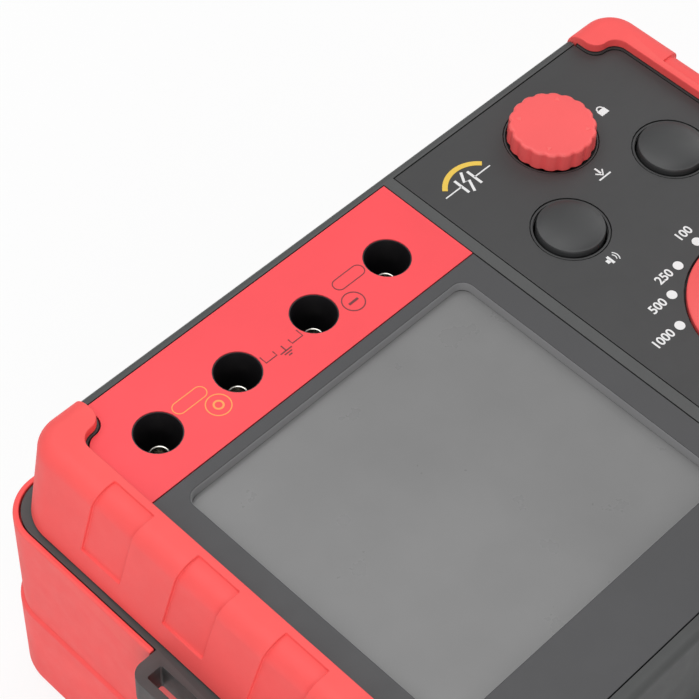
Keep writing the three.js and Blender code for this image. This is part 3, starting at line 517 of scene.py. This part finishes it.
def front_boot(name, side):
    outline = rounded_outline(
        -PANEL_LENGTH / 2 - 3.3, PANEL_LENGTH / 2 + 3.3, -PANEL_DEPTH / 2 - 0.2, PANEL_DEPTH / 2 + 0.2, BOOT_CORNER, 16
    )

    def levels(sink):
        start = (PART_Z + FIT, draft_at(PART_Z) - sink)
        return [start] + quarter_round(LIP_TOP - sink, BOOT_EDGE, draft_at(LIP_TOP - BOOT_EDGE) - sink, 9)

    room = rounded_outline(
        -PANEL_LENGTH / 2, PANEL_LENGTH / 2, -CORE_DEPTH / 2, CORE_DEPTH / 2, CASE_CORNER, 8
    )
    region = box_solid(
        "region", (min(side * TAB_END, side * 130), -100, 0), (max(side * TAB_END, side * 130), 100, 120)
    )
    boot = keep_within(loft(name, outline, levels(0)), region)
    hollow = loft("hollow", room, [(PART_Z - 1, SPREAD + FIT), (PANEL_Z, FIT), (PANEL_Z + FIT, FIT)])
    face = prism("face", open_face(), PANEL_Z - 3, LIP_TOP + 1)
    pads = [pad_cutter(side, (k - 1.5) * 25.7, levels, outline) for k in range(4)]
    cut(boot, hollow, face, *pads)
    return soften(boot, 0.45, 3, 24)


def rear_boot(name, side):
    outline = rounded_outline(-REAR_HALF_X, REAR_HALF_X, -REAR_HALF_Y, REAR_HALF_Y, REAR_CORNER, 16)
    foot = [
        (FOOT_EDGE * (1 - cos(a)), SKIRT_STEP - FOOT_EDGE * (1 - sin(a)))
        for a in (0, 0.39, 0.79, 1.18, pi / 2)
    ]
    seam = [
        (SKIRT_Z - 0.9, SKIRT_STEP),
        (SKIRT_Z - 0.35, SKIRT_STEP * 0.75),
        (SKIRT_Z, 0.0),
        (SKIRT_Z + 0.15, -0.25),
    ]
    body = [(SKIRT_Z + 0.6, 0), (PART_Z - 0.4, 0), (PART_Z, -0.4)]
    boot = loft(name, outline, foot + seam + body)
    end = REAR[1].x if side < 0 else -REAR[1].x
    region = box_solid("region", (min(end, side * 130), -100, -1), (max(end, side * 130), 100, 120))
    keep_within(boot, region)
    ledge = loft("ledge", outline, [(RAIL_Z - FIT, -RIM_WIDTH), (PART_Z + 1, -RIM_WIDTH)])
    hollow = loft("hollow", outline, [(2.2, -5), (4.6, -2.6), (PART_Z + 1, -2.6)])
    fold = 13
    window = prism(
        "window",
        rounded_outline(-REAR_HALF_X + fold, REAR_HALF_X - fold, -REAR_HALF_Y + fold, REAR_HALF_Y - fold, 5, 6),
        -1,
        3.2,
    )
    inner, outer = side * (REAR_HALF_X - 14), side * (REAR_HALF_X + LUG_REACH + FIT)
    half = LUG_HALF + FIT
    notch = prism(
        "notch",
        rounded_outline(min(inner, outer), max(inner, outer), -half, half, LUG_CORNER, 8),
        PART_Z - FIT - LUG_HEIGHT - FIT,
        PART_Z + 1,
    )
    cut(boot, ledge, hollow, window, notch)
    return soften(boot, 0.4, 3, 30)


def make_boots(looks):
    for name, side in (("left", -1), ("right", 1)):
        front = front_boot("front_boot_shell_" + name, side)
        dress(front, looks["boot"], "case", "boot_rubber", "front_boot_" + name)
        rear = rear_boot("rear_boot_shell_" + name, side)
        dress(rear, looks["boot"], "case", "boot_rubber", "rear_boot_" + name)


# ---- sockets -----------------------------------------------------------------------------------
def make_sockets(looks):
    for k, place in enumerate(SOCKETS, 1):
        radius, wall, foot, top = SOCKET_HOLE / 2, 1.4, 59.9, PANEL_Z - 2.1
        housing = lathe(
            "socket_bore_%d" % k,
            [
                (0, foot), (radius + wall, foot), (radius + wall, top), (radius - 0.05, top),
                (radius - 0.05, PANEL_Z - 0.25), (radius - 0.3, PANEL_Z - 0.25), (radius - 0.35, 62.4),
                (radius - 0.9, 61.6), (0, 61.6),
            ],
            place.x, place.y,
        )
        soften(housing, 0, merge=False)
        dress(housing, looks["dark"], "case", "dark_plastic", "socket_housing_%d" % k)
        rim = PANEL_Z - 8.3
        contact = lathe(
            "socket_tube_%d" % k,
            [
                (0, 61.9), (2.7, 61.9), (2.7, rim - 0.25), (2.55, rim - 0.06), (2.35, rim), (2.15, rim - 0.1),
                (2.0, rim - 0.4), (2.0, 63.6), (0, 63.4),
            ],
            place.x, place.y, segments=48,
        )
        soften(contact, 0, merge=False)
        dress(contact, looks["nickel"], "case", "nickel", "socket_contact_%d" % k)


# ---- controls --------------------------------------------------------------------------------------
def fluted_outline(radius, flutes, depth, steps=10):
    points = []
    for k in range(flutes * steps):
        angle = 2 * pi * k / (flutes * steps)
        wave = 0.5 - 0.5 * cos(flutes * angle)
        reach = radius - depth * wave ** 2.2
        points.append((reach * cos(angle), reach * sin(angle), cos(angle), sin(angle)))
    return points


def make_knob(looks):
    low, high = node_box("test_knob")
    top, foot = high.z, PANEL_Z - 0.6
    outline = [(KNOB.x + x, KNOB.y + y, nx, ny) for x, y, nx, ny in fluted_outline(10.7, 18, 0.4)]
    crown = [(foot, -0.5), (foot + 0.5, 0), (top - 0.8, -0.1), (top - 0.35, -0.3), (top - 0.15, -0.6), (top - 0.1, -1.1)]
    cap = loft("test_knob_cap", outline, crown)
    shaft = lathe("shaft", [(0, low.z), (3, low.z), (3, foot + 0.4), (0, foot + 0.4)], KNOB.x, KNOB.y, segments=32)
    combine(cap, [shaft], "UNION")
    soften(cap, 0.18, 2, 40)
    dress(cap, looks["knob"], "test_knob", "knob_red", "test_knob")
    # a raised arrow head on the crown's rim tells which way the knob turns to lock
    marks = []
    for turn in (35, 125, 215, 305):
        angle = radians(turn)
        cx, cy = KNOB.x + 8.2 * cos(angle), KNOB.y + 8.2 * sin(angle)
        arm = [(cx + 0.9 * cos(angle + q), cy + 0.9 * sin(angle + q)) for q in (0, 2.1, 4.2)]
        marks.append(prism("mark", arm, top - 0.5, top))
    first = marks.pop()
    combine(first, marks, "UNION")
    first.name = "test_knob_marks"
    dress(soften(first, 0.08, 2, 40), looks["knob"], "test_knob", "knob_red")


def make_spring(looks):
    """The return spring as a round wire with closed end turns."""
    low, high = node_box("test_spring")
    wire, turns, travel, section = 0.45, 6, 2.5, 10
    radius = (high.x - low.x) / 2 - wire
    foot, top = low.z + wire, high.z - wire
    points, faces, steps = [], [], turns * 40
    for k in range(steps + 1):
        share = k / steps
        angle = 2 * pi * turns * share
        rise = min(max((share * turns - 0.6) / (turns - 1.2), 0), 1)
        for j in range(section):
            around = 2 * pi * j / section
            reach = radius + wire * cos(around)
            height = foot + (top - foot) * rise + wire * sin(around)
            points.append((KNOB.x + reach * cos(angle), KNOB.y + reach * sin(angle), height))
    for k in range(steps):
        for j in range(section):
            a, b = k * section + j, k * section + (j + 1) % section
            faces.append((a, b, b + section, a + section))
    faces += [tuple(range(section)), tuple(range(steps * section, (steps + 1) * section))]
    coil = soften(mesh_object("test_spring_coil", points, faces), 0, merge=False)
    coil.modifiers.clear()
    dress(coil, looks["steel"], "case", "steel", "test_spring")
    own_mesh(coil)


def make_keys(looks):
    for name, place in KEYS.items():
        low, high = node_box(name + "_key")
        skirt = PANEL_Z - 4.1
        dome = [(8.2 * sin(a), high.z - 1.3 * (1 - cos(a)) * 1.15) for a in [k / 10 * 1.25 for k in range(11)]]
        profile = [(0, low.z), (2.5, low.z), (2.5, skirt), (8.2, skirt), (8.2, high.z - 1.75)]
        profile += [(8.15, high.z - 1.35), (8.0, high.z - 1.05)] + [(r, z) for r, z in reversed(dome) if r < 7.8]
        key = lathe(name + "_key_cap", profile, place.x, place.y, segments=96)
        soften(key, 0, merge=False)
        dress(key, looks["key"], name + "_key", "key_black", name + "_key")


def make_dial(looks):
    low, high = node_box("range_dial")
    rise, radius = PANEL_Z + 3, 21.8
    foot = PANEL_Z - 1.7
    profile = [(0, low.z), (3, low.z), (3, foot), (radius - 0.3, foot), (radius, foot + 0.3), (radius, PANEL_Z + 0.3)]
    profile += [(radius - 0.35, PANEL_Z + 0.75), (radius - 4.2, rise - 0.2), (radius - 4.9, rise), (0, rise)]
    disc = lathe("range_dial_disc", profile, DIAL.x, DIAL.y, segments=120)
    grip = rounded_outline(DIAL.x - 5.5, DIAL.x + 5.5, DIAL.y - 17.2, DIAL.y + 17.2, 5.3, 12)
    bar = loft("bar", grip, [(rise - 0.5, 0)] + [(rise, 0)] + quarter_round(high.z - 0.08, 1.5, -0.4, 5))
    combine(disc, [bar], "UNION")
    soften(disc, 0.25, 3, 30)
    dress(disc, looks["knob"], "range_dial", "knob_red", "range_dial")
    line = rounded_outline(DIAL.x - 0.7, DIAL.x + 0.7, DIAL.y + 3, DIAL.y + 15.2, 0.65, 5)
    pointer = loft("range_pointer", line, [(high.z - 0.12, 0), (high.z - 0.02, 0)])
    dress(soften(pointer, 0), looks["white"], "range_dial", "knob_red")


# ---- printing --------------------------------------------------------------------------------------
PRINT = 0.05


def strip(points, width, z, closed=False):
    """A flat printed line of even width through the points."""
    count = len(points)
    rails = []
    for k, (x, y) in enumerate(points):
        before = points[(k - 1) % count] if closed or k else points[k]
        after = points[(k + 1) % count] if closed or k < count - 1 else points[k]
        dx, dy = after[0] - before[0], after[1] - before[1]
        size = hypot(dx, dy) or 1
        nx, ny = -dy / size * width / 2, dx / size * width / 2
        rails.append(((x + nx, y + ny), (x - nx, y - ny)))
    base = [(*p, z) for pair in rails for p in pair]
    lid = [(x, y, z + PRINT) for x, y, _ in base]
    faces, half = [], len(base)
    last = count if closed else count - 1
    for k in range(last):
        a, b, c, d = 2 * k, 2 * k + 1, 2 * ((k + 1) % count) + 1, 2 * ((k + 1) % count)
        faces += [(a, b, c, d), (a + half, d + half, c + half, b + half)]
        faces += [(a, d, d + half, a + half), (b, b + half, c + half, c)]
    if not closed:
        e = 2 * (count - 1)
        faces += [(0, half, half + 1, 1), (e, e + 1, e + 1 + half, e + half)]
    return base + lid, faces


def arc_points(x, y, radius, start, end, steps=20):
    turn = [radians(start + (end - start) * k / steps) for k in range(steps + 1)]
    return [(x + radius * cos(a), y + radius * sin(a)) for a in turn]


def printed(name, strokes, look, z=None):
    """Joins printed strokes, each (points, width, closed), into one thin piece on the case."""
    z = PANEL_Z + 0.01 if z is None else z
    points, faces = [], []
    for outline, width, closed in strokes:
        base, made = strip(outline, width, z, closed)
        faces += [tuple(i + len(points) for i in face) for face in made]
        points += base
    return dress(mesh_object(name, points, faces), look, "case")


def lozenge(x0, x1, y0, y1):
    return [(p[0], p[1]) for p in rounded_outline(x0, x1, y0, y1, (y1 - y0) / 2 - 0.01, 8)]


def printed_number(name, text, x, y, height, look):
    curve = bpy.data.curves.new(name, "FONT")
    curve.body = text
    curve.align_x, curve.align_y = "CENTER", "CENTER"
    curve.size = height / 0.7 * MM
    curve.extrude = PRINT / 2 * MM
    curve.offset = 0.00006
    label = new_object(name + "_curve", curve)
    label.location = Vector((x, y, PANEL_Z + 0.01 + PRINT / 2)) * MM
    bpy.context.view_layer.update()
    mesh = bpy.data.meshes.new_from_object(label.evaluated_get(bpy.context.evaluated_depsgraph_get()))
    mesh.transform(label.matrix_world)
    bpy.data.objects.remove(label, do_unlink=True)
    return dress(new_object(name, mesh), look, "case")


def make_print(looks):
    scale_radius, pitch = 25.1, 20.5
    dots = []
    for k in range(-3, 4):
        angle = radians(90 + k * pitch)
        x, y = DIAL.x + scale_radius * cos(angle), DIAL.y + scale_radius * sin(angle)
        dots.append(prism("dot", disc_outline(x, y, 1.25, 28), PANEL_Z + 0.01, PANEL_Z + 0.01 + PRINT))
    first = dots.pop(0)
    combine(first, dots, "UNION")
    first.name = "dial_scale_dots"
    dress(first, looks["white"], "case")
    # each number stands left of its dot, and the first one above it
    for k, text, dx, dy in ((0, "100", -0.4, 3.7), (1, "250", -4.9, 0), (2, "500", -4.9, 0), (3, "1000", -5.7, 0)):
        angle = radians(90 + k * pitch)
        x, y = DIAL.x + scale_radius * cos(angle) + dx, DIAL.y + scale_radius * sin(angle) + dy
        printed_number("dial_number_" + text, text, x, y, 2.3, looks["white"])
    make_socket_print(looks)
    make_control_print(looks)


def make_socket_print(looks):
    one, two, three, four = [(s.x, s.y) for s in SOCKETS]
    y = one[1]
    left = [
        (lozenge(one[0] + 6.1, one[0] + 15.3, y + 0.0, y + 3.2), 0.22, True),
        (arc_points(two[0] - 9.2, y - 3.7, 2.9, 0, 360, 32)[:-1], 0.25, True),
        (arc_points(two[0] - 9.2, y - 3.7, 1.1, 0, 360, 20)[:-1], 0.45, True),
    ]
    printed("socket_marks_left", left, looks["orange"])
    right = [
        (lozenge(four[0] - 15.1, four[0] - 6.0, y + 0.4, y + 3.6), 0.22, True),
        (arc_points(three[0] + 8.9, y - 3.7, 2.7, 0, 360, 32)[:-1], 0.25, True),
        ([(three[0] + 7.5, y - 3.7), (three[0] + 10.3, y - 3.7)], 0.6, False),
    ]
    # two brackets between the middle pair of sockets, with an earth sign between them
    mid = (two[0] + three[0]) / 2
    bracket = []
    for hand in (-1, 1):
        corner = [(5.6, -0.6), (5.6, -2.7), (2.4, -2.7), (2.4, -1.3)]
        bracket.append(([(mid + hand * dx, y + dy) for dx, dy in corner], 0.26, False))
    bracket += [
        ([(mid, y - 1.5), (mid, y - 3.2)], 0.3, False),
        ([(mid - 1.7, y - 3.2), (mid + 1.7, y - 3.2)], 0.3, False),
        ([(mid - 1.1, y - 3.9), (mid + 1.1, y - 3.9)], 0.3, False),
        ([(mid - 0.5, y - 4.6), (mid + 0.5, y - 4.6)], 0.3, False),
    ]
    printed("socket_marks_right", right + bracket, looks["black_print"])


def ring_of(name, outline, inner, outer, levels):
    """A frame between two offsets of an outline, through (height, inner shift, outer shift) levels."""
    body = loft(name, outline, [(z, outer + b) for z, a, b in levels])
    hole = [(z, inner + a) for z, a, b in levels]
    hole = [(hole[0][0] - 1, hole[0][1])] + hole + [(hole[-1][0] + 1, hole[-1][1])]
    return cut(body, loft("ring_hole", outline, hole))


def make_rims(looks):
    """The lining of the display window and the low collars round the keys and the knob."""
    low, high = node_box("display_glass")
    window = rounded_outline(low.x - FIT, high.x + FIT, low.y - FIT, high.y + FIT, 3.3, 8)
    levels = [(high.z + 0.05, 0, 0), (high.z + 0.5, 0, 0), (PANEL_Z - 0.15, 0.25, 0)]
    frame_ring = ring_of("display_frame", window, -0.4, -0.05, levels)
    dress(soften(frame_ring, 0, merge=False), looks["frame"], "case")
    rounds = [(name, place, 8.8, 9.35) for name, place in KEYS.items()] + [("knob", KNOB, 10.98, 11.4)]
    turn = [2 * pi * k / 96 for k in range(96)]
    for name, place, inner, outer in rounds:
        outline = [(place.x + 10 * cos(a), place.y + 10 * sin(a), cos(a), sin(a)) for a in turn]
        steps = [(PANEL_Z - 1.0, 0, 0), (PANEL_Z - 0.15, 0, 0)]
        collar = ring_of(name + "_collar", outline, inner - 10, outer - 10, steps)
        dress(soften(collar, 0.12, 2, 40), looks["inlay"], "case")


def make_control_print(looks):
    x0, y0 = 27.7, KNOB.y + 7.7
    band = arc_points(x0 + 0.3, y0 - 7.2, 8.3, 40, 140, 24)
    printed("discharge_arc", [(band, 1.3, False)], looks["yellow"])
    bolt = [(x0 + 0.9, y0 - 0.4), (x0 - 0.8, y0 - 3.1), (x0 + 0.6, y0 - 3.4), (x0 - 0.9, y0 - 6.6)]
    strokes = [
        ([(x0 - 7.6, y0 - 3.6), (x0 - 2.2, y0 - 3.6)], 0.35, False),
        ([(x0 + 2.2, y0 - 3.6), (x0 + 7.6, y0 - 3.6)], 0.35, False),
        ([(x0 - 2.2, y0 - 1.2), (x0 - 2.2, y0 - 6.0)], 0.7, False),
        ([(x0 + 2.2, y0 - 1.2), (x0 + 2.2, y0 - 6.0)], 0.7, False),
        (bolt, 0.7, False),
    ]
    lock_x, lock_y = KNOB.x + 15.6, KNOB.y - 2.2
    strokes += [
        ([(lock_x - 1.3, lock_y - 0.8), (lock_x + 1.3, lock_y - 0.8)], 1.8, False),
        (arc_points(lock_x, lock_y + 0.1, 0.9, 0, 180, 12), 0.35, False),
    ]
    # speaker sign under the hold key, power sign under the power key, down arrow under the knob
    hold, power = KEYS["hold"], KEYS["power"]
    hx, hy = hold.x, hold.y - 12.6
    strokes += [
        ([(hx - 1.7, hy), (hx - 0.7, hy)], 1.1, False),
        ([(hx - 0.45, hy - 1.2), (hx - 0.45, hy + 1.2)], 0.7, False),
        (arc_points(hx + 0.1, hy, 1.1, -45, 45, 8), 0.25, False),
        (arc_points(hx + 0.1, hy, 1.8, -45, 45, 8), 0.25, False),
    ]
    px, py = power.x, power.y - 12.6
    strokes += [
        (arc_points(px, py, 1.4, 120, 420, 22), 0.32, False),
        ([(px, py + 0.2), (px, py + 1.9)], 0.32, False),
    ]
    tx, ty = KNOB.x, KNOB.y - 15.4
    strokes += [
        ([(tx, ty + 1.6), (tx, ty - 0.4)], 0.5, False),
        ([(tx - 1.2, ty + 0.3), (tx, ty - 1.1), (tx + 1.2, ty + 0.3)], 0.4, False),
        ([(tx - 2.0, ty - 1.7), (tx + 2.0, ty - 1.7)], 0.4, False),
    ]
    printed("control_marks", strokes, looks["white"])


# ---- carried-over CAD nodes -------------------------------------------------------------------------
def dress_cad(looks):
    plain = {
        "case": ["front_case", "rear_case", "battery_door"],
        "bezel": ["display_bezel"],
        "panel": ["socket_panel"],
        "inlay": ["control_inlay"],
        "lcd": ["display_glass"],
        "ceramic": ["display_backlight", "discharge_resistor", "fuse"],
        "dark": [
            "display_carrier", "test_plunger", "test_switch", "hold_switch", "power_switch", "rotary_switch",
            "high_voltage_module", "buzzer",
        ],
        "nickel": ["battery_contact_left", "battery_contact_right"],
        "steel": ["fuse_holder"] + ["case_screw_%d" % k for k in range(1, 5)],
        "board": ["main_board"],
        "copper": ["step_up_transformer"],
        "cell": ["battery_cell_%s_%d" % (s, k) for s in ("left", "right") for k in (1, 2, 3)],
    }
    edges = {"front_case": 0.35, "rear_case": 0.35, "battery_door": 0.25}
    for look, names in plain.items():
        for name in names:
            dress_node(name, looks[look], edges.get(name, 0.15))


make_camera()
make_studio()
LOOKS = make_materials()
make_boots(LOOKS)
make_sockets(LOOKS)
make_knob(LOOKS)
make_spring(LOOKS)
make_keys(LOOKS)
make_dial(LOOKS)
make_rims(LOOKS)
make_print(LOOKS)
dress_cad(LOOKS)
